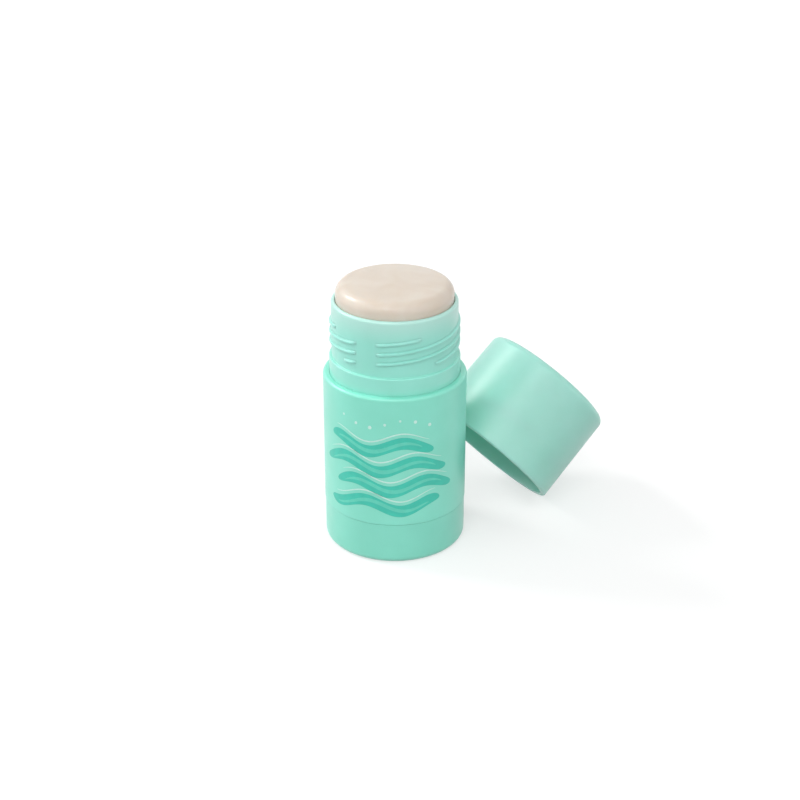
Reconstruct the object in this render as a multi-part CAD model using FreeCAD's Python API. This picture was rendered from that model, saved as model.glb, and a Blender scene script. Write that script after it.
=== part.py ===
import FreeCAD, Part
import math
import os

from FreeCAD import Vector

# A round twist-up deodorant stick, standing with its cap off and leaning on it.
# Millimetres, +Z up, origin at the middle of the base. Azimuths are in degrees
# about +Z from +X, and the printed front of the stick looks along -Y.

# Sleeve: the decorated outer shell
sleeve_d = 41.9
ledge_z = 53.5
sleeve_foot_z = 13.0
sleeve_wall = 1.15
ledge_wall = 1.3
ledge_edge_r = 0.9

# Barrel: the inner tube with the threaded neck
barrel_air_gap = 1.5
barrel_wall = 1.06
neck_h = 17.0
rim_edge_r = 0.8
collar_step = 0.74
collar_h = 5.2
collar_edge_r = 0.35
shoulder_ring_h = 1.4
barrel_foot_z = 4.6
fin_count = 8
fin_w = 1.0
fin_h = 2.4

# Guide ribs in the bore, which keep the platform from turning
rib_count = 4
rib_w = 1.0
rib_h = 0.45
rib_end_below_rim = 5.0
rib_azimuth = 45.0

# Neck thread: short ridges of several starts, broken at the two mould lines
thread_starts = 4
thread_lead = 11.8
thread_above_collar = 2.8
thread_turn = 257.6
thread_azimuth = -44.85
thread_root_w = 1.45
thread_crest_w = 0.55
thread_h = 0.6
thread_break = 20.0
thread_break_slope = 4.0
thread_break_azimuth = -109.0

# Bearing plate: closes the barrel from below and carries the spindle
plate_z = 7.8
plate_t = 1.8
plate_skirt_h = 3.0
plate_skirt_wall = 1.2
plate_rib_count = 6
plate_rib_w = 1.0
plate_rib_h = 1.4

# Spindle: hexagon stub, journal, flange and coarse screw
hex_across = 4.4
hex_depth = 4.2
journal_d = 7.16
spindle_flange_d = 13.6
spindle_flange_t = 1.1
screw_root_d = 4.8
screw_crest_d = 6.8
screw_lead = 5.0
screw_root_w = 2.0
screw_crest_w = 1.0
screw_tooth_l = 3.8
screw_tip = 0.8
screw_below_rim = 1.525

# Dial: the turning base cup
dial_inset = 0.15
dial_wall = 1.3
dial_floor_t = 1.6
foot_recess = 1.2
foot_ring_w = 2.2
foot_edge_r = 2.1
hub_wall = 2.4
dial_rib_count = 6
dial_rib_w = 1.0
dial_rib_h = 1.4

# Platform: the nut that lifts the bar, by 55 mm until it meets the screw's tip
platform_t = 1.4
platform_wall = 1.0
platform_wall_h = 4.5
nut_wall = 1.5
nut_h = 7.3
nut_ridge_turn = 160.0
nut_ridge_root_w = 3.0
nut_ridge_crest_w = 2.0
key_count = 6
key_window_l = 4.0
key_window_w = 5.0

# Bar: the domed stick of product
crown_rise = 5.65
crown_drop = 4.05
crown_edge_r = 3.3

# Cap
cap_h = 29.8
cap_neck_gap = 0.91
cap_rim_wall = 1.7
cap_side_wall = 1.3
cap_top_wall = 1.4
cap_edge_r = 2.0
cap_rim_bevel = 0.35
cap_ridge_turn = 70.0
cap_ridge_z = 8.6
cap_ridge_root_w = 1.6
cap_ridge_crest_w = 0.65
cap_lean = 40.6
cap_azimuth = 41.1

# Clearances
turn_gap = 0.25
press_gap = 0.05
journal_gap = 0.07
slide_gap = 0.2
bar_gap = 0.15
cast_gap = 0.03
screw_gap = 0.2
cap_thread_gap = 0.2
lean_gap = 0.25

# How far a round edge may leave its true arc, as it is laid out in straight steps
edge_error = 0.105

# Sizes that follow from the ones above
ORIGIN = Vector(0, 0, 0)
ACROSS = Vector(1, 0, 0)
UP = Vector(0, 0, 1)
sink = 0.3
sleeve_r = sleeve_d / 2
barrel_r = sleeve_r - sleeve_wall - barrel_air_gap
bore_r = barrel_r - barrel_wall
collar_r = barrel_r + collar_step
dial_r = sleeve_r - dial_inset
hub_r = hex_across / math.sqrt(3) + hub_wall
collar_z = ledge_z + collar_h
thread_low_z = collar_z + thread_above_collar
rim_z = collar_z + neck_h
crown_z = rim_z + crown_rise
rib_top_z = rim_z - rib_end_below_rim
plate_top_z = plate_z + plate_t
dial_top_z = sleeve_foot_z - turn_gap
hub_top_z = plate_z - turn_gap
flange_z = plate_top_z + turn_gap / 2
screw_z = flange_z + spindle_flange_t
screw_root_r = screw_root_d / 2
screw_crest_r = screw_crest_d / 2
platform_z = screw_z + turn_gap
platform_top_z = platform_z + platform_t
platform_r = bore_r - slide_gap
seat_r = platform_r - platform_wall
nut_hole_r = screw_crest_r + screw_gap
nut_r = nut_hole_r + nut_wall
nut_top_z = platform_z + nut_h
screw_top_z = rim_z - screw_below_rim
thread_rise = thread_lead * thread_turn / 360
cap_bore_r = collar_r + cap_neck_gap
cap_rim_r = cap_bore_r + cap_rim_wall


def arc(centre, start, end):
    """Points along an arc about a centre, from one radius to another."""
    sweep = start.getAngle(end)
    step = 2 * math.acos(1 - edge_error / start.Length)
    count = math.ceil(sweep / step)
    points = []
    for i in range(count + 1):
        before = math.sin(sweep * (1 - i / count)) / math.sin(sweep)
        after = math.sin(sweep * i / count) / math.sin(sweep)
        points.append(centre + start * before + end * after)
    return points


def flat_face(points):
    """Plane face inside a loop of points."""
    return Part.Face(Part.makePolygon(points + [points[0]]))


def turned(corners):
    """Solid turned about the stick's axis from (radius, height, rounding) corners."""
    points = [Vector(r, 0, z) for r, z, rounding in corners]
    loop = []
    for i, here in enumerate(points):
        rounding = corners[i][2]
        if rounding == 0:
            loop.append(here)
            continue
        back = (points[i - 1] - here).normalize()
        ahead = (points[(i + 1) % len(points)] - here).normalize()
        half = back.getAngle(ahead) / 2
        reach = rounding / math.tan(half)
        centre = here + (back + ahead).normalize() * (rounding / math.sin(half))
        loop += arc(centre, here + back * reach - centre, here + ahead * reach - centre)
    return flat_face(loop).revolve(ORIGIN, UP, 360)


def around(shape, count, start=0.0):
    """Copies of a shape spaced evenly about the axis."""
    copies = []
    for i in range(count):
        turned_copy = shape.copy()
        turned_copy.rotate(ORIGIN, UP, start + 360.0 * i / count)
        copies.append(turned_copy)
    return copies


def block(x0, x1, width, z0, z1):
    """Box along +X, centred on the XZ plane."""
    return Part.makeBox(x1 - x0, width, z1 - z0, Vector(x0, -width / 2, z0))


def ridge(lead, turn, root_r, root_w, crest_r, crest_w):
    """Ridge swept up a right-hand helix that starts on the +X side at height 0."""
    path = Part.makeHelix(lead, lead * turn / 360, root_r)
    section = [
        Vector(root_r, 0, -root_w / 2),
        Vector(crest_r, 0, -crest_w / 2),
        Vector(crest_r, 0, crest_w / 2),
        Vector(root_r, 0, root_w / 2),
    ]
    wire = Part.makePolygon(section + [section[0]])
    return Part.Wire(path.Edges).makePipeShell([wire], True, True)


def hexagon(across, z0, z1):
    """Six-sided prism about the axis."""
    corner = Vector(across / math.sqrt(3), 0, z0)
    corners = []
    for i in range(6):
        angle = math.radians(60 * i)
        corners.append(Vector(corner.x * math.cos(angle), corner.x * math.sin(angle), z0))
    return flat_face(corners).extrude(UP * (z1 - z0))


def make_sleeve():
    """Shell with an inward ledge that hangs on the barrel's shoulder ring."""
    inner_r = sleeve_r - sleeve_wall
    mouth_r = collar_r + press_gap
    return turned([
        (inner_r, sleeve_foot_z, 0),
        (sleeve_r, sleeve_foot_z, 0),
        (sleeve_r, ledge_z, ledge_edge_r),
        (mouth_r, ledge_z, 0),
        (mouth_r, ledge_z - ledge_wall, 0),
        (inner_r, ledge_z - ledge_wall, 0),
    ])


def make_neck_thread():
    """Ridges of the neck thread, sloped off at the two mould lines."""
    root_r = barrel_r - sink
    crest_r = barrel_r + thread_h
    one = ridge(thread_lead, thread_turn, root_r, thread_root_w, crest_r, thread_crest_w)
    one.translate(UP * thread_low_z)
    inner = math.tan(math.radians(thread_break / 2 - thread_break_slope))
    outer = math.tan(math.radians(thread_break / 2 + thread_break_slope))
    near = root_r - sink
    far = crest_r + sink
    low = thread_low_z - thread_root_w
    mould_line = flat_face([
        Vector(near, -near * inner, low),
        Vector(far, -far * outer, low),
        Vector(far, far * outer, low),
        Vector(near, near * inner, low),
    ])
    mould_line = mould_line.extrude(UP * (thread_rise + 2 * thread_root_w))
    breaks = around(mould_line, 2, thread_break_azimuth)
    ridges = []
    for start in around(one, thread_starts, thread_azimuth):
        ridges += start.cut(breaks).Solids
    return ridges


def make_barrel():
    """Inner tube: open foot, centring fins, shoulder ring, collar, neck and ribs."""
    inside_r = sleeve_r - sleeve_wall - press_gap
    shoulder_z = ledge_z - ledge_wall
    ring_z = shoulder_z - shoulder_ring_h
    shell = turned([
        (bore_r, barrel_foot_z, 0),
        (barrel_r, barrel_foot_z, 0),
        (barrel_r, ring_z, 0),
        (inside_r, ring_z, 0),
        (inside_r, shoulder_z, 0),
        (collar_r, shoulder_z, 0),
        (collar_r, collar_z, collar_edge_r),
        (barrel_r, collar_z, 0),
        (barrel_r, rim_z, rim_edge_r),
        (bore_r, rim_z, 0),
    ])
    fin_z = sleeve_foot_z + turn_gap
    fin = block(barrel_r - sink, inside_r, fin_w, fin_z, fin_z + fin_h)
    rib = block(bore_r - rib_h, bore_r + sink, rib_w, plate_top_z, rib_top_z)
    parts = around(fin, fin_count)
    parts += around(rib, rib_count, rib_azimuth)
    parts += make_neck_thread()
    return shell.fuse(parts).removeSplitter()


def make_bearing_plate():
    """Floor of the barrel, pressed in up to the guide ribs, with skirt and ribs."""
    outer_r = bore_r - press_gap
    skirt_r = outer_r - plate_skirt_wall
    skirt_z = plate_z - plate_skirt_h
    hole_r = journal_d / 2 + journal_gap
    plate = turned([
        (hole_r, plate_z, 0),
        (skirt_r, plate_z, 0),
        (skirt_r, skirt_z, 0),
        (outer_r, skirt_z, 0),
        (outer_r, plate_top_z, 0),
        (hole_r, plate_top_z, 0),
    ])
    rib_end_r = skirt_r + plate_skirt_wall / 2
    rib_z = plate_z - plate_rib_h
    rib = block(hub_r + turn_gap, rib_end_r, plate_rib_w, rib_z, plate_z + plate_t / 2)
    return plate.fuse(around(rib, plate_rib_count)).removeSplitter()


def make_tooth():
    """One tooth of the screw's thread, on the +X side at height 0."""
    growth = sink * (screw_root_w - screw_crest_w) / (screw_crest_r - screw_root_r)
    near = screw_root_r - sink
    far = screw_crest_r + sink
    near_w = screw_root_w + growth
    far_w = screw_crest_w - growth
    start = -screw_crest_r
    tooth = flat_face([
        Vector(near, start, -near_w / 2),
        Vector(far, start, -far_w / 2),
        Vector(far, start, far_w / 2),
        Vector(near, start, near_w / 2),
    ])
    tooth = tooth.extrude(Vector(0, screw_crest_d, 0))
    slope = screw_lead / (math.pi * (screw_root_r + screw_crest_r))
    tooth.rotate(ORIGIN, ACROSS, math.degrees(math.atan(slope)))
    limits = block(0, far, screw_tooth_l, -screw_lead, screw_lead)
    limits = limits.common(Part.makeCylinder(screw_crest_r, 2 * screw_lead, UP * -screw_lead))
    return tooth.common(limits)


def make_spindle():
    """Screw that turns with the dial; two moulding flats break its thread into teeth."""
    core = turned([
        (0, hub_top_z, 0),
        (journal_d / 2, hub_top_z, 0),
        (journal_d / 2, flange_z, 0),
        (spindle_flange_d / 2, flange_z, 0),
        (spindle_flange_d / 2, screw_z, 0),
        (screw_root_r, screw_z, 0),
        (screw_root_r, screw_top_z, 0),
        (0, screw_top_z, 0),
    ])
    tooth = make_tooth()
    pitch = screw_lead / 2
    count = math.floor((screw_top_z - screw_tip - screw_z) / pitch) - 1
    parts = [hexagon(hex_across, hub_top_z - hex_depth, hub_top_z + sink)]
    for i in range(count):
        placed = tooth.copy()
        placed.rotate(ORIGIN, UP, 180.0 * i)
        placed.translate(UP * (screw_z + pitch * (i + 1)))
        parts.append(placed)
    return core.fuse(parts).removeSplitter()


def make_dial():
    """Turning base cup with a foot ring, hub, socket and stiffening ribs."""
    floor_top_z = foot_recess + dial_floor_t
    ring_inner_r = dial_r - foot_edge_r - foot_ring_w
    cup = turned([
        (0, foot_recess, 0),
        (ring_inner_r, foot_recess, 0),
        (ring_inner_r, 0, 0),
        (dial_r, 0, foot_edge_r),
        (dial_r, dial_top_z, 0),
        (dial_r - dial_wall, dial_top_z, 0),
        (dial_r - dial_wall, floor_top_z, 0),
        (0, floor_top_z, 0),
    ])
    hub = Part.makeCylinder(hub_r, hub_top_z - foot_recess, UP * foot_recess)
    rib_z = floor_top_z - dial_floor_t / 2
    rib_top = floor_top_z + dial_rib_h
    rib = block(hub_r - sink, dial_r - dial_wall / 2, dial_rib_w, rib_z, rib_top)
    socket_z = hub_top_z - hex_depth - press_gap
    socket = hexagon(hex_across + 2 * press_gap, socket_z, hub_top_z + sink)
    solid = cup.fuse([hub] + around(rib, dial_rib_count)).cut(socket)
    return solid.removeSplitter()


def rib_slots(z0, z1):
    """Grooves that let a moving piece slide along the guide ribs."""
    deep_r = bore_r - rib_h - slide_gap
    slot = block(deep_r, bore_r + sink, rib_w + 2 * slide_gap, z0, z1)
    return around(slot, rib_count, rib_azimuth)


def make_platform():
    """Cup that carries the bar, with the nut of the screw in its middle."""
    wall_top_z = platform_top_z + platform_wall_h
    disc = turned([
        (nut_hole_r, platform_z, 0),
        (platform_r, platform_z, 0),
        (platform_r, wall_top_z, 0),
        (seat_r, wall_top_z, 0),
        (seat_r, platform_top_z, 0),
        (nut_r, platform_top_z, 0),
        (nut_r, nut_top_z, 0),
        (nut_hole_r, nut_top_z, 0),
    ])
    nut_ridge = ridge(
        screw_lead,
        nut_ridge_turn,
        nut_hole_r + sink,
        nut_ridge_root_w,
        screw_root_r + screw_gap,
        nut_ridge_crest_w,
    )
    nut_ridge.rotate(ORIGIN, UP, 180.0)
    nut_ridge.translate(UP * (screw_z + screw_lead / 2))
    near = (nut_r + seat_r - key_window_l) / 2
    far = near + key_window_l
    key = block(near, far, key_window_w, platform_z - sink, platform_top_z + sink)
    cuts = around(key, key_count)
    cuts += rib_slots(platform_z - sink, wall_top_z + sink)
    return disc.fuse(nut_ridge).cut(cuts).removeSplitter()


def make_bar():
    """Cast stick of product: a flat crown with soft shoulders, seated in the platform."""
    bar_r = bore_r - bar_gap
    hollow_r = nut_r + cast_gap
    plug_r = seat_r - cast_gap
    way_r = screw_crest_r + slide_gap
    seat_z = platform_top_z + cast_gap
    skirt_z = seat_z + platform_wall_h
    hollow_z = nut_top_z + cast_gap
    way_z = screw_top_z + screw_gap
    corners = [
        (0, way_z),
        (way_r, way_z),
        (way_r, hollow_z),
        (hollow_r, hollow_z),
        (hollow_r, seat_z),
        (plug_r, seat_z),
        (plug_r, skirt_z),
        (bar_r, skirt_z),
    ]
    loop = [Vector(r, 0, z) for r, z in corners]
    edge_centre = Vector(bar_r - crown_edge_r, 0, crown_z - crown_drop)
    chord = edge_centre.x**2 + crown_drop**2 - crown_edge_r**2
    crown_r = chord / (2 * (crown_drop - crown_edge_r))
    crown_centre = UP * (crown_z - crown_r)
    outward = (edge_centre - crown_centre).normalize()
    loop += arc(edge_centre, ACROSS * crown_edge_r, outward * crown_edge_r)
    loop += arc(crown_centre, outward * crown_r, UP * crown_r)[1:]
    stick = flat_face(loop).revolve(ORIGIN, UP, 360)
    return stick.cut(rib_slots(skirt_z - sink, rib_top_z + slide_gap)).removeSplitter()


def make_cap():
    """Cap in its own frame, rim down at height 0, with ridges for the neck thread."""
    shell = turned([
        (0, cap_h, 0),
        (0, cap_h - cap_top_wall, 0),
        (cap_bore_r, cap_h - cap_top_wall, 0),
        (cap_bore_r, 0, 0),
        (cap_rim_r - cap_rim_bevel, 0, 0),
        (cap_rim_r, cap_rim_bevel, 0),
        (cap_bore_r + cap_side_wall, cap_h, cap_edge_r),
    ])
    crest_r = barrel_r + cap_thread_gap
    root_r = cap_bore_r + sink
    one = ridge(thread_lead, cap_ridge_turn, root_r, cap_ridge_root_w, crest_r, cap_ridge_crest_w)
    one.translate(UP * cap_ridge_z)
    return shell.fuse(around(one, thread_starts)).removeSplitter()


def lean(cap):
    """Tip the cap over, rim down on the floor, its upper lip against the sleeve."""
    tilt = math.radians(cap_lean)
    height = cap_rim_r * math.cos(tilt) - cap_rim_bevel * math.sin(tilt)
    reach = (cap_rim_r - cap_rim_bevel) * math.sin(tilt)
    cap.rotate(ORIGIN, Vector(0, 1, 0), 90 - cap_lean)
    cap.translate(Vector(sleeve_r + lean_gap + reach, 0, height))
    cap.rotate(ORIGIN, UP, cap_azimuth)
    return cap


def main():
    pieces = {
        "sleeve": make_sleeve(),
        "barrel": make_barrel(),
        "bearing_plate": make_bearing_plate(),
        "spindle": make_spindle(),
        "dial": make_dial(),
        "platform": make_platform(),
        "bar": make_bar(),
        "cap": lean(make_cap()),
    }
    os.makedirs("parts", exist_ok=True)
    for name, shape in pieces.items():
        solids = shape.Solids
        shape = solids[0] if len(solids) == 1 else shape
        shape.exportStep("parts/" + name + ".step")
        box = shape.BoundBox
        print(
            f"{name}: solids {len(solids)} valid {shape.isValid()} "
            f"volume {shape.Volume:.1f} z {box.ZMin:.2f} to {box.ZMax:.2f}"
        )


main()
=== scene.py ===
import math

import bmesh
import bpy
from mathutils import Matrix, Vector


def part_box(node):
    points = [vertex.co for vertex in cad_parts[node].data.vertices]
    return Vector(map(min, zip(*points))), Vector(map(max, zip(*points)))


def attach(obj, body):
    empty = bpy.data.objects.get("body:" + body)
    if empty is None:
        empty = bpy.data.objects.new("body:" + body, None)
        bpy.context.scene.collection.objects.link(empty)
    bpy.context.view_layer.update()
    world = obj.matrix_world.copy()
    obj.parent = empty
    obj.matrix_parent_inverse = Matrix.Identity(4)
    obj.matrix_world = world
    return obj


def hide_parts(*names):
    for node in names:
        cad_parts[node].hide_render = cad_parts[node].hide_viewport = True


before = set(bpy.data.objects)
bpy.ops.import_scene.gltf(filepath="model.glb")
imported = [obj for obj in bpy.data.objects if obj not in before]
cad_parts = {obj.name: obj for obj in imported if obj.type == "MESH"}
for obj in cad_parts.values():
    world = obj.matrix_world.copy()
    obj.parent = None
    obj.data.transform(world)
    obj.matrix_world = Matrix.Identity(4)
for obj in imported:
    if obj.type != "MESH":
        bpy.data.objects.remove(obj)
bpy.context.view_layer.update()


# Inner works: bearing plate, spindle and platform
# Three mouldings in natural white polypropylene, hidden in the tube: the floor pressed into
# its foot, the screw that turns with the dial, and the cup with the nut that lifts the stick.

mm = 0.001


def swatch(red, green, blue):
    """Linear colour from the 0 to 255 values read off a colour swatch."""
    linear = [((v / 255 + 0.055) / 1.055) ** 2.4 for v in (red, green, blue)]
    return (*linear, 1.0)


def moulded_plastic(name, pale, deep, roughness):
    """Satin polypropylene: faint clouds of pigment, a fine moulded grain, a milky depth."""
    material = bpy.data.materials.new(name)
    material.use_nodes = True
    tree = material.node_tree
    shader = tree.nodes["Principled BSDF"]
    shader.inputs["IOR"].default_value = 1.49
    shader.inputs["Subsurface Weight"].default_value = 0.35
    shader.inputs["Subsurface Radius"].default_value = (0.8, 1.0, 0.9)
    shader.inputs["Subsurface Scale"].default_value = 1.6 * mm
    shader.inputs["Specular IOR Level"].default_value = 0.7
    shader.inputs["Coat Weight"].default_value = 0.4
    shader.inputs["Coat Roughness"].default_value = 0.34
    place = tree.nodes.new("ShaderNodeTexCoord")

    clouds = tree.nodes.new("ShaderNodeTexNoise")
    clouds.inputs["Scale"].default_value = 110
    clouds.inputs["Detail"].default_value = 3
    pigment = tree.nodes.new("ShaderNodeValToRGB")
    pigment.name = "pigment"
    pigment.color_ramp.elements[0].position = 0.32
    pigment.color_ramp.elements[0].color = deep
    pigment.color_ramp.elements[1].position = 0.68
    pigment.color_ramp.elements[1].color = pale
    tree.links.new(place.outputs["Object"], clouds.inputs["Vector"])
    tree.links.new(clouds.outputs["Fac"], pigment.inputs["Fac"])
    tree.links.new(pigment.outputs["Color"], shader.inputs["Base Color"])

    handling = tree.nodes.new("ShaderNodeTexNoise")
    handling.inputs["Scale"].default_value = 260
    handling.inputs["Detail"].default_value = 5
    polish = tree.nodes.new("ShaderNodeMapRange")
    polish.inputs["From Min"].default_value = 0.3
    polish.inputs["From Max"].default_value = 0.7
    polish.inputs["To Min"].default_value = roughness - 0.04
    polish.inputs["To Max"].default_value = roughness + 0.05
    tree.links.new(place.outputs["Object"], handling.inputs["Vector"])
    tree.links.new(handling.outputs["Fac"], polish.inputs["Value"])
    tree.links.new(polish.outputs["Result"], shader.inputs["Roughness"])

    grain = tree.nodes.new("ShaderNodeTexNoise")
    grain.inputs["Scale"].default_value = 2600
    grain.inputs["Detail"].default_value = 2
    relief = tree.nodes.new("ShaderNodeBump")
    relief.inputs["Strength"].default_value = 0.12
    relief.inputs["Distance"].default_value = 0.02 * mm
    tree.links.new(place.outputs["Object"], grain.inputs["Vector"])
    tree.links.new(grain.outputs["Fac"], relief.inputs["Height"])
    tree.links.new(relief.outputs["Normal"], shader.inputs["Normal"])
    return material


natural_white = moulded_plastic("natural_white", swatch(240, 241, 235), swatch(232, 234, 227), 0.42)

for name in ("bearing_plate", "spindle", "platform"):
    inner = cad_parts[name]
    inner.data.materials.clear()
    inner.data.materials.append(natural_white)


# Dial
# The turning base cup, injection moulded in the pack's mint polypropylene. It stands on a
# narrow foot ring, and the spindle's hexagon stub is pressed into the socket of its hub.

def arc(centre, start, end, steps):
    """Points along an arc about a centre, from one radius to another."""
    sweep = start.angle(end)
    points = []
    for i in range(steps + 1):
        before = math.sin(sweep * (1 - i / steps)) / math.sin(sweep)
        after = math.sin(sweep * i / steps) / math.sin(sweep)
        points.append(centre + start * before + end * after)
    return points


def rounded(corners, steps=8):
    """Closed outline of (radius, height) points from (radius, height, rounding) corners."""
    outline = []
    for i, (radius, height, rounding) in enumerate(corners):
        here = Vector((radius, height))
        if rounding == 0:
            outline.append(here)
            continue
        back = (Vector(corners[i - 1][:2]) - here).normalized()
        ahead = (Vector(corners[(i + 1) % len(corners)][:2]) - here).normalized()
        half = back.angle(ahead) / 2
        centre = here + (back + ahead).normalized() * (rounding / math.sin(half))
        start = here + back * (rounding / math.tan(half)) - centre
        end = here + ahead * (rounding / math.tan(half)) - centre
        outline += arc(centre, start, end, steps)
    return outline


def turn(shape, outline, sides=192):
    """Add a form turned about the stick's axis; its outline has no edge along that axis."""
    starts_on_axis = outline[0][0] == 0
    same_place = 0.001 * mm
    loop = [shape.verts.new((radius, 0, height)) for radius, height in outline]
    first = 1 if starts_on_axis else 0
    edges = [shape.edges.new((loop[i - 1], loop[i])) for i in range(first, len(loop))]
    bmesh.ops.spin(
        shape,
        geom=loop + edges,
        cent=(0, 0, 0),
        axis=(0, 0, 1),
        angle=2 * math.pi,
        steps=sides,
        use_merge=True,
    )
    bmesh.ops.remove_doubles(shape, verts=shape.verts, dist=same_place)


def bars(shape, near, far, width, low, high, count, azimuth=0.0):
    """Add straight ribs, fins or keys that stand round the axis."""
    for i in range(count):
        place = Matrix.Rotation(math.radians(azimuth + 360 * i / count), 4, "Z")
        place @= Matrix.Translation(((near + far) / 2, 0, (low + high) / 2))
        place @= Matrix.Diagonal((far - near, width, high - low, 1))
        bmesh.ops.create_cube(shape, size=1, matrix=place)


def finished(name, shape, material, body, slot, *stands_for):
    """Piece made of a shape, smooth but for its true edges, on its body."""
    true_edge = math.radians(32)
    bmesh.ops.recalc_face_normals(shape, faces=shape.faces)
    mesh = bpy.data.meshes.new(name)
    shape.to_mesh(mesh)
    shape.free()
    mesh.shade_smooth()
    mesh.set_sharp_from_angle(angle=true_edge)
    mesh.materials.append(material)
    piece = bpy.data.objects.new(name, mesh)
    bpy.context.scene.collection.objects.link(piece)
    even = piece.modifiers.new("even_normals", "WEIGHTED_NORMAL")
    even.keep_sharp = True
    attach(piece, body)
    if stands_for:
        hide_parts(*stands_for)
    return piece


dial_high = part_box("dial")[1]
dial_r = dial_high.x
dial_lip_h = 0.1 * mm
dial_lip_edge_r = 0.15 * mm
dial_top_z = dial_high.z + dial_lip_h
dial_wall = 1.3 * mm
foot_recess = 1.2 * mm
foot_recess_edge_r = 0.3 * mm
foot_edge_r = 2.1 * mm
foot_inner_edge_r = 0.4 * mm
foot_ring_w = 2.2 * mm
dial_floor_z = 2.8 * mm
dial_floor_edge_r = 0.6 * mm
dial_rib_w = 1.0 * mm
dial_rib_top_z = 4.2 * mm
dial_rib_count = 6
hub_r = 4.94 * mm
hub_top_z = 7.55 * mm

mint_dial = moulded_plastic("mint_dial", swatch(131, 221, 200), swatch(126, 216, 195), 0.4)

dial_shape = bmesh.new()
turn(dial_shape, rounded([
    (0, foot_recess, 0),
    (dial_r - foot_edge_r - foot_ring_w, foot_recess, foot_recess_edge_r),
    (dial_r - foot_edge_r - foot_ring_w, 0, foot_inner_edge_r),
    (dial_r, 0, foot_edge_r),
    (dial_r, dial_top_z, dial_lip_edge_r),
    (dial_r - dial_wall, dial_top_z, 0),
    (dial_r - dial_wall, dial_floor_z, dial_floor_edge_r),
    (hub_r, dial_floor_z, 0),
    (hub_r, hub_top_z, 0),
    (0, hub_top_z, 0),
]))
bars(
    dial_shape,
    hub_r,
    dial_r - dial_wall,
    dial_rib_w,
    dial_floor_z,
    dial_rib_top_z,
    dial_rib_count,
)
finished("dial_cup", dial_shape, mint_dial, "dial", "dial", "dial")


# Barrel and neck thread
# The inner tube, moulded with a four-start thread whose ridges stop at the two mould lines.
# The pale product shows through the thin neck; its mint is painted milkier towards the rim as a
# painted glow.

barrel_low, barrel_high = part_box("barrel")
shoulder_ring_r = barrel_high.x
neck_wall_r = 18.3 * mm
bore_r = 17.24 * mm
rim_z = barrel_high.z
rim_edge_r = 0.8 * mm
rim_inner_edge_r = 0.15 * mm
collar_r = 19.04 * mm
collar_z = 58.7 * mm
collar_edge_r = 0.35 * mm
collar_root_r = 0.2 * mm
shoulder_z = 52.2 * mm
shoulder_ring_h = 1.4 * mm
tube_foot_edge_r = 0.3 * mm

fin_w = 1.0 * mm
fin_low_z = 13.25 * mm
fin_high_z = 15.65 * mm
fin_count = 8

rib_h = 0.45 * mm
rib_root = 0.3 * mm
rib_w = 1.0 * mm
rib_low_z = 9.6 * mm
rib_high_z = 70.7 * mm
rib_count = 4
rib_azimuth = 45

thread_starts = 4
thread_lead = 11.8 * mm
thread_turn = 257.6
thread_azimuth = -44.85
thread_low_z = 61.5 * mm
thread_root_w = 1.45 * mm
thread_crest_w = 0.55 * mm
thread_crest_edge_r = 0.16 * mm
thread_h = 0.6 * mm
thread_sink = 0.3 * mm
thread_steps = 258
thread_end_steps = 5
thread_least_height = 0.02
mould_line_azimuth = -109
mould_line_gap = 9
mould_line_slope = 5

# Painted glow: how far below the rim the neck starts to be painted milkier, and how far past the
# rim it runs.
painted_glow_depth = 8 * mm
painted_glow_past_rim = 1 * mm


def add_section(shape, last, points, azimuth):
    """Next cross-section round the axis, joined to the last one or closing a new end."""
    angle = math.radians(azimuth)
    ring = []
    for radius, z in points:
        place = (radius * math.cos(angle), radius * math.sin(angle), z)
        ring.append(shape.verts.new(place))
    if last is None:
        shape.faces.new(ring)
    else:
        for j in range(len(ring)):
            shape.faces.new((last[j - 1], last[j], ring[j], ring[j - 1]))
    return ring


def close_end(shape, ring):
    """Close the far end of what was built section by section, if it is open."""
    if ring is not None:
        shape.faces.new(ring)


def add_thread_ridge(shape, azimuth):
    """One start of the neck thread, which sinks into the wall at each mould line."""
    section = rounded([
        (-thread_sink, -thread_root_w / 2, 0),
        (thread_h, -thread_crest_w / 2, thread_crest_edge_r),
        (thread_h, thread_crest_w / 2, thread_crest_edge_r),
        (-thread_sink, thread_root_w / 2, 0),
    ], steps=4)
    last = None
    for i in range(thread_steps + 1):
        turned = thread_turn * i / thread_steps
        here = azimuth + turned
        off_line = abs((here - mould_line_azimuth + 90) % 180 - 90)
        beside_line = (off_line - mould_line_gap) / mould_line_slope
        from_start = i / thread_end_steps
        from_end = (thread_steps - i) / thread_end_steps
        height = min(1, beside_line, from_start, from_end)
        if height <= thread_least_height:
            close_end(shape, last)
            last = None
            continue
        z = thread_low_z + thread_lead * turned / 360
        points = []
        for depth, offset in section:
            radius = neck_wall_r + (depth * height if depth > 0 else depth)
            points.append((radius, z + offset))
        last = add_section(shape, last, points, here)
    close_end(shape, last)


mint_neck = moulded_plastic("mint_neck", swatch(149, 227, 211), swatch(144, 223, 206), 0.36)
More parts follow.
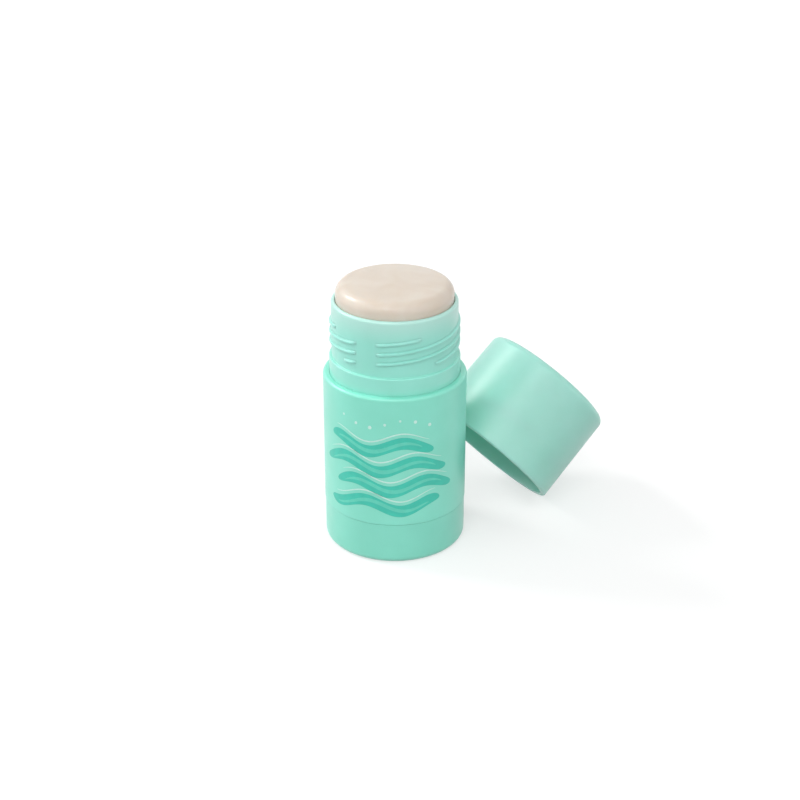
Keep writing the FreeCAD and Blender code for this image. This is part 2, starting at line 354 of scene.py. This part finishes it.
# Painted glow: the neck's colour is mixed by height towards a pale mint, up to the rim.
neck_tree = mint_neck.node_tree
neck_place = neck_tree.nodes.new("ShaderNodeTexCoord")
neck_height = neck_tree.nodes.new("ShaderNodeSeparateXYZ")
painted_glow_height = neck_tree.nodes.new("ShaderNodeMapRange")
painted_glow_height.interpolation_type = "SMOOTHSTEP"
painted_glow_height.inputs["From Min"].default_value = rim_z - painted_glow_depth
painted_glow_height.inputs["From Max"].default_value = rim_z + painted_glow_past_rim
milky = neck_tree.nodes.new("ShaderNodeMix")
milky.data_type = "RGBA"
milky.inputs[7].default_value = swatch(182, 229, 218)
neck_tree.links.new(neck_place.outputs["Object"], neck_height.inputs["Vector"])
neck_tree.links.new(neck_height.outputs["Z"], painted_glow_height.inputs["Value"])
neck_tree.links.new(painted_glow_height.outputs["Result"], milky.inputs["Factor"])
neck_tree.links.new(neck_tree.nodes["pigment"].outputs["Color"], milky.inputs[6])
neck_tree.links.new(milky.outputs[2], neck_tree.nodes["Principled BSDF"].inputs["Base Color"])

barrel_shape = bmesh.new()
turn(barrel_shape, rounded([
    (bore_r, barrel_low.z, 0),
    (neck_wall_r, barrel_low.z, tube_foot_edge_r),
    (neck_wall_r, shoulder_z - shoulder_ring_h, 0),
    (shoulder_ring_r, shoulder_z - shoulder_ring_h, 0),
    (shoulder_ring_r, shoulder_z, 0),
    (collar_r, shoulder_z, 0),
    (collar_r, collar_z, collar_edge_r),
    (neck_wall_r, collar_z, collar_root_r),
    (neck_wall_r, rim_z, rim_edge_r),
    (bore_r, rim_z, rim_inner_edge_r),
]))
for start in range(thread_starts):
    add_thread_ridge(barrel_shape, thread_azimuth + 360 / thread_starts * start)
bars(barrel_shape, neck_wall_r, shoulder_ring_r, fin_w, fin_low_z, fin_high_z, fin_count)
bars(
    barrel_shape,
    bore_r - rib_h,
    bore_r + rib_root,
    rib_w,
    rib_low_z,
    rib_high_z,
    rib_count,
    rib_azimuth,
)
finished("barrel_tube", barrel_shape, mint_neck, "barrel", "barrel", "barrel")


# Sleeve
# The decorated outer shell, a separate mint moulding pushed over the barrel. Its inward
# ledge sits on the barrel's shoulder ring, with a soft rounded edge that catches the light.

sleeve_low, sleeve_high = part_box("sleeve")
sleeve_r = sleeve_high.x
sleeve_wall = 1.15 * mm
sleeve_foot_edge_r = 0.15 * mm
ledge_wall = 1.3 * mm
ledge_edge_r = 0.9 * mm
ledge_fit = 0.05 * mm
ledge_mouth_r = collar_r + ledge_fit
ledge_mouth_edge_r = 0.1 * mm

mint_sleeve = moulded_plastic("mint_sleeve", swatch(136, 227, 206), swatch(131, 223, 201), 0.4)

sleeve_shape = bmesh.new()
turn(sleeve_shape, rounded([
    (sleeve_r - sleeve_wall, sleeve_low.z, 0),
    (sleeve_r, sleeve_low.z, sleeve_foot_edge_r),
    (sleeve_r, sleeve_high.z, ledge_edge_r),
    (ledge_mouth_r, sleeve_high.z, ledge_mouth_edge_r),
    (ledge_mouth_r, sleeve_high.z - ledge_wall, 0),
    (sleeve_r - sleeve_wall, sleeve_high.z - ledge_wall, 0),
]))
finished("sleeve_shell", sleeve_shape, mint_sleeve, "barrel", "sleeve", "sleeve")


# Printed front
# Screen-printed inks on the sleeve: four deep teal waves, each with a lighter crest over it and
# a fine pale line above it, and a row of pale dots. Each ink lies a little proud of the shell.

ink_height = 0.03 * mm
ink_sink = 0.1 * mm
ink_steps_per_degree = 1.5
ink_least_steps = 8
front_azimuth = -90

# What is drawn has its heights in plain mm and its places in degrees along the front.
wave_top_z = 38.0
wave_step = 6.3
wave_size = 1.5
wave_length = 58
wave_shift = 9
wave_half_w = 1.9
wave_fullness = 6
wave_ends = ((-50, 40), (-58, 52), (-44, 58), (-52, 46))

crest_drop = 0.5
crest_shift = 3
crest_w = 1.2
crest_from_start = 8
crest_from_end = 10

line_rise = 2.9
line_w = 0.4
line_from_start = 6
line_from_end = 4

dot_count = 7
dot_first = -36
dot_step = 12
dot_row_z = 45.4
dot_row_size = 1.3
dot_least_r = 0.34
dot_more_r = 0.2
dot_change = 2.3


def printing_ink(name, colour, roughness):
    """Opaque ink with the faint unevenness of a screen print."""
    material = bpy.data.materials.new(name)
    material.use_nodes = True
    tree = material.node_tree
    shader = tree.nodes["Principled BSDF"]
    shader.inputs["Roughness"].default_value = roughness
    place = tree.nodes.new("ShaderNodeTexCoord")
    mottle = tree.nodes.new("ShaderNodeTexNoise")
    mottle.inputs["Scale"].default_value = 500
    mottle.inputs["Detail"].default_value = 4
    cover = tree.nodes.new("ShaderNodeValToRGB")
    cover.color_ramp.elements[0].position = 0.3
    cover.color_ramp.elements[0].color = [0.9 * v for v in colour[:3]] + [1.0]
    cover.color_ramp.elements[1].position = 0.7
    cover.color_ramp.elements[1].color = colour
    tree.links.new(place.outputs["Object"], mottle.inputs["Vector"])
    tree.links.new(mottle.outputs["Fac"], cover.inputs["Fac"])
    tree.links.new(cover.outputs["Color"], shader.inputs["Base Color"])
    return material


def print_band(shape, low, high, start, end, layer=1):
    """Closed film of ink between two lines that are drawn along the front."""
    steps = max(ink_least_steps, math.ceil((end - start) * ink_steps_per_degree))
    under_r = sleeve_r - ink_sink
    over_r = sleeve_r + ink_height * layer
    last = None
    for i in range(steps + 1):
        along = start + (end - start) * i / steps
        foot_z = low(along) * mm
        top_z = high(along) * mm
        points = ((under_r, foot_z), (over_r, foot_z), (over_r, top_z), (under_r, top_z))
        last = add_section(shape, last, points, front_azimuth + along)
    close_end(shape, last)


def swell(height, size, length, shift):
    """Line that rolls up and down along the front."""
    return lambda along: height + size * math.sin(2 * math.pi * (along - shift) / length)


def beside(line, start, end, thick, fullness=2):
    """Edge of a band beside a line, which comes back to the line at both ends."""
    middle = (start + end) / 2
    half = (end - start) / 2

    def edge(along):
        off_middle = abs((along - middle) / half)
        return line(along) + thick * math.sqrt(max(0, 1 - off_middle ** fullness))

    return edge


deep_teal = printing_ink("deep_teal_ink", swatch(64, 200, 178), 0.36)
light_teal = printing_ink("light_teal_ink", swatch(98, 212, 190), 0.36)
pale_ink = printing_ink("pale_ink", swatch(206, 243, 232), 0.36)

field_shape = bmesh.new()
wave_shape = bmesh.new()
line_shape = bmesh.new()
for i, (start, end) in enumerate(wave_ends):
    wave_z = wave_top_z - wave_step * i
    shift = wave_shift * i
    middle = swell(wave_z, wave_size, wave_length, shift)
    top = beside(middle, start, end, wave_half_w, wave_fullness)
    foot = beside(middle, start, end, -wave_half_w, wave_fullness)
    print_band(field_shape, foot, top, start, end)

    crest_start = start + crest_from_start
    crest_end = end - crest_from_end
    crest = swell(wave_z - crest_drop, wave_size, wave_length, shift + crest_shift)
    crest_top = beside(crest, crest_start, crest_end, crest_w)
    print_band(wave_shape, crest, crest_top, crest_start, crest_end, layer=2)

    line_start = start + line_from_start
    line_end = end - line_from_end
    line = swell(wave_z + line_rise, wave_size, wave_length, shift)
    line_top = beside(line, line_start, line_end, line_w)
    print_band(line_shape, line, line_top, line_start, line_end)
finished("print_field", field_shape, deep_teal, "barrel", "sleeve")
finished("print_waves", wave_shape, light_teal, "barrel", "sleeve")

for i in range(dot_count):
    dot_middle = dot_first + dot_step * i
    dot_z = dot_row_z + dot_row_size * math.sin(2 * math.pi * dot_middle / wave_length)
    dot_r = dot_least_r + dot_more_r * math.sin(dot_change * i) ** 2
    reach = math.degrees(dot_r * mm / sleeve_r)
    start = dot_middle - reach
    end = dot_middle + reach
    level = swell(dot_z, 0, 1, 0)
    top = beside(level, start, end, dot_r)
    foot = beside(level, start, end, -dot_r)
    print_band(line_shape, foot, top, start, end)
finished("print_lines", line_shape, pale_ink, "barrel", "sleeve")


# Bar of product
# The waxy stick, poured hot through the foot of the tube and set against the crown mould.
# It is ivory with a blush of pink, has faint pour marks on top and slides on the guide ribs.

bar_low, bar_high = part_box("bar")
bar_gap = 0.15 * mm
bar_r = bore_r - bar_gap
crown_z = bar_high.z
crown_side_z = 77.3 * mm
crown_edge_r = 3.3 * mm
crown_steps = 14
skirt_z = 17.0 * mm
plug_r = 16.01 * mm
way_r = 3.6 * mm
way_z = 74.37 * mm
hollow_r = 5.13 * mm
hollow_z = 18.4 * mm
slot_depth = 0.65 * mm
slot_w = 1.4 * mm
slot_top_z = 70.9 * mm
slot_past_bar = 1 * mm

wax = bpy.data.materials.new("wax")
wax.use_nodes = True
wax_tree = wax.node_tree
wax_shader = wax_tree.nodes["Principled BSDF"]
wax_shader.inputs["IOR"].default_value = 1.44
wax_shader.inputs["Coat Weight"].default_value = 0.3
wax_shader.inputs["Coat Roughness"].default_value = 0.16
wax_shader.inputs["Subsurface Weight"].default_value = 0.45
wax_shader.inputs["Subsurface Radius"].default_value = (1.0, 0.75, 0.55)
wax_shader.inputs["Subsurface Scale"].default_value = 2.5 * mm
wax_place = wax_tree.nodes.new("ShaderNodeTexCoord")
pour = wax_tree.nodes.new("ShaderNodeTexNoise")
pour.inputs["Scale"].default_value = 95
pour.inputs["Detail"].default_value = 4
pour.inputs["Distortion"].default_value = 0.8
blush = wax_tree.nodes.new("ShaderNodeValToRGB")
blush.color_ramp.elements[0].position = 0.3
blush.color_ramp.elements[0].color = swatch(210, 196, 180)
blush.color_ramp.elements[1].position = 0.7
blush.color_ramp.elements[1].color = swatch(218, 208, 195)
gloss = wax_tree.nodes.new("ShaderNodeMapRange")
gloss.inputs["From Min"].default_value = 0.3
gloss.inputs["From Max"].default_value = 0.7
gloss.inputs["To Min"].default_value = 0.3
gloss.inputs["To Max"].default_value = 0.42
fine_wax = wax_tree.nodes.new("ShaderNodeTexNoise")
fine_wax.inputs["Scale"].default_value = 700
fine_wax.inputs["Detail"].default_value = 4
wax_relief = wax_tree.nodes.new("ShaderNodeBump")
wax_relief.inputs["Strength"].default_value = 0.2
wax_relief.inputs["Distance"].default_value = 0.04 * mm
wax_tree.links.new(wax_place.outputs["Object"], pour.inputs["Vector"])
wax_tree.links.new(wax_place.outputs["Object"], fine_wax.inputs["Vector"])
wax_tree.links.new(pour.outputs["Fac"], blush.inputs["Fac"])
wax_tree.links.new(blush.outputs["Color"], wax_shader.inputs["Base Color"])
wax_tree.links.new(pour.outputs["Fac"], gloss.inputs["Value"])
wax_tree.links.new(gloss.outputs["Result"], wax_shader.inputs["Roughness"])
wax_tree.links.new(fine_wax.outputs["Fac"], wax_relief.inputs["Height"])
wax_tree.links.new(wax_relief.outputs["Normal"], wax_shader.inputs["Normal"])


def crown(steps):
    """The crown from its side to its middle: a soft shoulder, then a wide flat arc."""
    drop = crown_z - crown_side_z
    edge = Vector((bar_r - crown_edge_r, crown_side_z))
    crown_r = (edge.x ** 2 + drop ** 2 - crown_edge_r ** 2) / (2 * (drop - crown_edge_r))
    centre = Vector((0, crown_z - crown_r))
    outward = (edge - centre).normalized()
    shoulder = arc(edge, Vector((crown_edge_r, 0)), outward * crown_edge_r, steps)
    top = arc(centre, outward * crown_r, Vector((0, crown_r)), steps)
    return shoulder + top[1:-1] + [Vector((0, crown_z))]


bar_shape = bmesh.new()
turn(bar_shape, [
    Vector((0, way_z)),
    Vector((way_r, way_z)),
    Vector((way_r, hollow_z)),
    Vector((hollow_r, hollow_z)),
    Vector((hollow_r, bar_low.z)),
    Vector((plug_r, bar_low.z)),
    Vector((plug_r, skirt_z)),
    Vector((bar_r, skirt_z)),
    *crown(crown_steps),
])
bar_of_product = finished("bar_of_product", bar_shape, wax, "elevator", "bar", "bar")

slot_shape = bmesh.new()
bars(
    slot_shape,
    bore_r - slot_depth,
    bar_r + slot_past_bar,
    slot_w,
    skirt_z - slot_past_bar,
    slot_top_z,
    rib_count,
    rib_azimuth,
)
slot_mesh = bpy.data.meshes.new("rib_slots")
slot_shape.to_mesh(slot_mesh)
slot_shape.free()
rib_slots = bpy.data.objects.new("rib_slots", slot_mesh)
bpy.context.scene.collection.objects.link(rib_slots)
rib_slots.hide_render = True
rib_slots.hide_viewport = True
rib_slots.parent = bar_of_product
grooves = bar_of_product.modifiers.new("grooves", "BOOLEAN")
grooves.operation = "DIFFERENCE"
grooves.solver = "EXACT"
grooves.object = rib_slots


# Cap
# The screw cap, moulded in a paler mint, taken off and leaning on the stick with its rim on
# the ground. Four ridges in its mouth take the neck's thread.

cap_h = 29.8 * mm
cap_rim_r = 21.65 * mm
cap_top_r = 21.25 * mm
cap_bore_r = 19.95 * mm
cap_top_wall = 1.4 * mm
cap_edge_r = 2.0 * mm
cap_end_edge_r = 0.6 * mm
cap_mouth_edge_r = 0.2 * mm
cap_rim_bevel = 0.35 * mm
cap_rim_edge_r = 0.15 * mm
cap_lean = math.radians(40.6)
cap_azimuth = math.radians(41.1)
cap_gap = 0.25 * mm
cap_ridge_low_z = 8.6 * mm
cap_ridge_turn = 70
cap_ridge_step = 2
cap_ridge_w = 1.2 * mm
cap_ridge_r = 18.5 * mm
cap_ridge_root_r = cap_bore_r + 0.3 * mm

mint_cap = moulded_plastic("mint_cap", swatch(161, 219, 205), swatch(155, 215, 200), 0.42)
cap_shader = mint_cap.node_tree.nodes["Principled BSDF"]
cap_shader.inputs["Subsurface Weight"].default_value = 0.9
cap_shader.inputs["Subsurface Scale"].default_value = 4.0 * mm
cap_shader.inputs["Specular IOR Level"].default_value = 0.5
cap_shader.inputs["Coat Weight"].default_value = 0.3

cap_shape = bmesh.new()
turn(cap_shape, rounded([
    (0, cap_h - cap_top_wall, 0),
    (cap_bore_r, cap_h - cap_top_wall, cap_end_edge_r),
    (cap_bore_r, 0, cap_mouth_edge_r),
    (cap_rim_r - cap_rim_bevel, 0, cap_rim_edge_r),
    (cap_rim_r, cap_rim_bevel, cap_rim_edge_r),
    (cap_top_r, cap_h, cap_edge_r),
    (0, cap_h, 0),
]))
for start in range(thread_starts):
    last = None
    for turned in range(0, cap_ridge_turn + 1, cap_ridge_step):
        z = cap_ridge_low_z + thread_lead * turned / 360
        points = (
            (cap_ridge_root_r, z - cap_ridge_w / 2),
            (cap_ridge_r, z - cap_ridge_w / 4),
            (cap_ridge_r, z + cap_ridge_w / 4),
            (cap_ridge_root_r, z + cap_ridge_w / 2),
        )
        last = add_section(cap_shape, last, points, 360 / thread_starts * start + turned)
    close_end(cap_shape, last)

cap_height = cap_rim_r * math.cos(cap_lean) - cap_rim_bevel * math.sin(cap_lean)
cap_reach = (cap_rim_r - cap_rim_bevel) * math.sin(cap_lean)
leaning = Matrix.Rotation(cap_azimuth, 4, "Z")
leaning @= Matrix.Translation((sleeve_r + cap_gap + cap_reach, 0, cap_height))
leaning @= Matrix.Rotation(math.pi / 2 - cap_lean, 4, "Y")
bmesh.ops.transform(cap_shape, matrix=leaning, verts=cap_shape.verts)
finished("cap_shell", cap_shape, mint_cap, "barrel", "cap", "cap")


# Floor and surroundings
# A plain pale table and white walls. The table is painted pale grey and lifted to white where
# it is seen or mirrored, so that it keeps a soft part of the shadow.

table_size = 4.0
table_lift = 0.56
ambient = 0.5

table_mesh = bpy.data.meshes.new("table")
table_shape = bmesh.new()
bmesh.ops.create_grid(table_shape, x_segments=1, y_segments=1, size=table_size)
table_shape.to_mesh(table_mesh)
table_shape.free()
table = bpy.data.objects.new("table", table_mesh)
bpy.context.scene.collection.objects.link(table)

white_table = bpy.data.materials.new("white_table")
white_table.use_nodes = True
table_tree = white_table.node_tree
table_shader = table_tree.nodes["Principled BSDF"]
table_shader.inputs["Base Color"].default_value = (0.48, 0.48, 0.48, 1)
table_shader.inputs["Roughness"].default_value = 0.9
table_shader.inputs["Specular IOR Level"].default_value = 0.0
paths = table_tree.nodes.new("ShaderNodeLightPath")
seen = table_tree.nodes.new("ShaderNodeMath")
seen.operation = "MAXIMUM"
lift = table_tree.nodes.new("ShaderNodeMath")
lift.operation = "MULTIPLY"
lift.inputs[1].default_value = table_lift
table_shader.inputs["Emission Color"].default_value = (1, 1, 1, 1)
table_tree.links.new(paths.outputs["Is Camera Ray"], seen.inputs[0])
table_tree.links.new(paths.outputs["Is Glossy Ray"], seen.inputs[1])
table_tree.links.new(seen.outputs["Value"], lift.inputs[0])
table_tree.links.new(lift.outputs["Value"], table_shader.inputs["Emission Strength"])
table_mesh.materials.append(white_table)

world = bpy.data.worlds.new("white_room")
bpy.context.scene.world = world
world.use_nodes = True
room = world.node_tree
backdrop = room.nodes["Background"]
backdrop.inputs["Color"].default_value = (1, 1, 1, 1)
room_paths = room.nodes.new("ShaderNodeLightPath")
room_seen = room.nodes.new("ShaderNodeMath")
room_seen.operation = "MAXIMUM"
room_through = room.nodes.new("ShaderNodeMath")
room_through.operation = "MAXIMUM"
room_level = room.nodes.new("ShaderNodeMapRange")
room_level.inputs["To Min"].default_value = ambient
room.links.new(room_paths.outputs["Is Camera Ray"], room_seen.inputs[0])
room.links.new(room_paths.outputs["Is Glossy Ray"], room_seen.inputs[1])
room.links.new(room_seen.outputs["Value"], room_through.inputs[0])
room.links.new(room_paths.outputs["Is Transmission Ray"], room_through.inputs[1])
room.links.new(room_through.outputs["Value"], room_level.inputs["Value"])
room.links.new(room_level.outputs["Result"], backdrop.inputs["Strength"])


# Lamps
# The main light comes from the left and a little behind, with a wide weak sheet of light below
# it. A soft box stands in front above the camera, and a wide fill keeps the right side open.

def lamp(name, azimuth, elevation, energy, width):
    """Distant soft lamp, in degrees round the stick and above the table, and its width."""
    light = bpy.data.lights.new(name, "SUN")
    light.energy = energy
    light.angle = math.radians(width)
    source = bpy.data.objects.new(name + "_lamp", light)
    level = math.cos(math.radians(elevation))
    towards = Vector((
        math.cos(math.radians(azimuth)) * level,
        math.sin(math.radians(azimuth)) * level,
        math.sin(math.radians(elevation)),
    ))
    source.rotation_euler = towards.to_track_quat("Z", "Y").to_euler()
    bpy.context.scene.collection.objects.link(source)


lamp("key", 164, 36, 1.25, 18)
lamp("side_sheet", 192, 20, 0.8, 80)
lamp("front_box", -96, 42, 0.9, 34)
lamp("fill", -40, 24, 0.75, 80)


# Camera
# A long lens half a metre away. It looks down at the stick from the front and a little from
# the right, and stands so that the leaning cap shows beside the stick.

view_azimuth = math.radians(7.75)
view_elevation = math.radians(25.58)
view_distance = 502.2 * mm
aim_z = 43.35 * mm
aim_right = 1.5 * mm

camera_data = bpy.data.cameras.new("camera")
camera_data.lens = 76.93
camera_data.sensor_width = 36
camera_data.clip_start = 0.01
camera = bpy.data.objects.new("camera", camera_data)
right = Vector((math.cos(view_azimuth), math.sin(view_azimuth), 0))
back = Vector((
    math.sin(view_azimuth) * math.cos(view_elevation),
    -math.cos(view_azimuth) * math.cos(view_elevation),
    math.sin(view_elevation),
))
camera.location = Vector((0, 0, aim_z)) + right * aim_right + back * view_distance
camera.rotation_euler = back.to_track_quat("Z", "Y").to_euler()
bpy.context.scene.collection.objects.link(camera)
bpy.context.scene.camera = camera
bpy.context.scene.view_settings.view_transform = "Standard"
